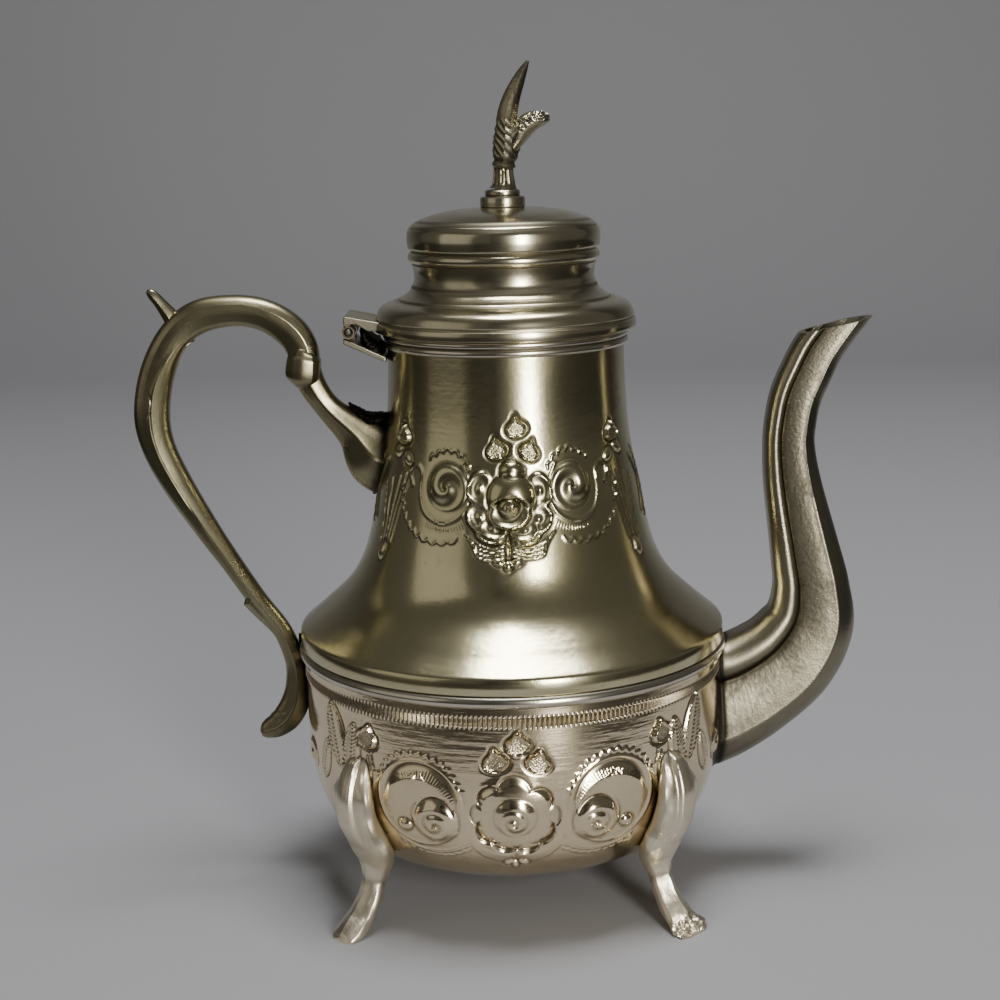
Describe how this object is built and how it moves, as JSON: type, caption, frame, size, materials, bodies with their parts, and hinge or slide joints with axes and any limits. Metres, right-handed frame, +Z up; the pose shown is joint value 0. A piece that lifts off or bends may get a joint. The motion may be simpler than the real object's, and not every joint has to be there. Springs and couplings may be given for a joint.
{
  "type": "coffee pot",
  "caption": "Footed metal coffee pot with a pear-shaped body, hinged domed lid, leaf finial, swan-neck spout, scrolled loop handle and chased flower bands.",
  "frame": {"origin": "on the pot's vertical axis, in the plane of the four soles; the bounding box is centred within 1.5 mm of it", "axes": "+Z up along the pot's axis, +X towards the spout, -X towards the handle and the lid hinge, -Y towards the front"},
  "size_m": [0.2292, 0.135, 0.2574],
  "materials": {
    "raised_sheet": "raised sheet, silver plated, aged and softly polished",
    "cast_plate": "sand cast, silver plated, satin",
    "drawn_bead": "drawn and turned rings, silver plated, polished",
    "hinge_plate": "cast hinge leaves, silver plated, with dark tarnish",
    "spun_lid": "spun sheet, silver plated, aged",
    "cast_finial": "cast, silver plated, worn on the ridges",
    "pin_steel": "drawn steel wire, darkened",
    "bare_brass": "bare brass, dull"
  },
  "bodies": {
    "pot": {"bowl": "raised_sheet", "shoulder_shell": "raised_sheet", "girdle_bead": "drawn_bead", "neck_rim": "drawn_bead", "spout": "cast_plate", "handle": "cast_plate", "foot_front_left": "cast_plate", "foot_front_right": "cast_plate", "foot_rear_left": "cast_plate", "foot_rear_right": "cast_plate", "hinge_body_leaf": "hinge_plate", "hinge_pin": "pin_steel"},
    "lid": {"lid_flange": "spun_lid", "lid_drum": "spun_lid", "lid_dome": "spun_lid", "lid_sleeve": "spun_lid", "hinge_lid_leaf": "hinge_plate", "finial": "cast_finial", "finial_collar": "cast_finial", "finial_stud": "pin_steel", "finial_washer": "bare_brass", "finial_nut": "bare_brass"}
  },
  "joints": [
    {"name": "lid_hinge", "type": "hinge", "parent": "pot", "child": "lid", "pos_m": [-0.0476, 0, 0.1778], "axis": [0, -1, 0], "range_deg": [0, 100]}
  ]
}
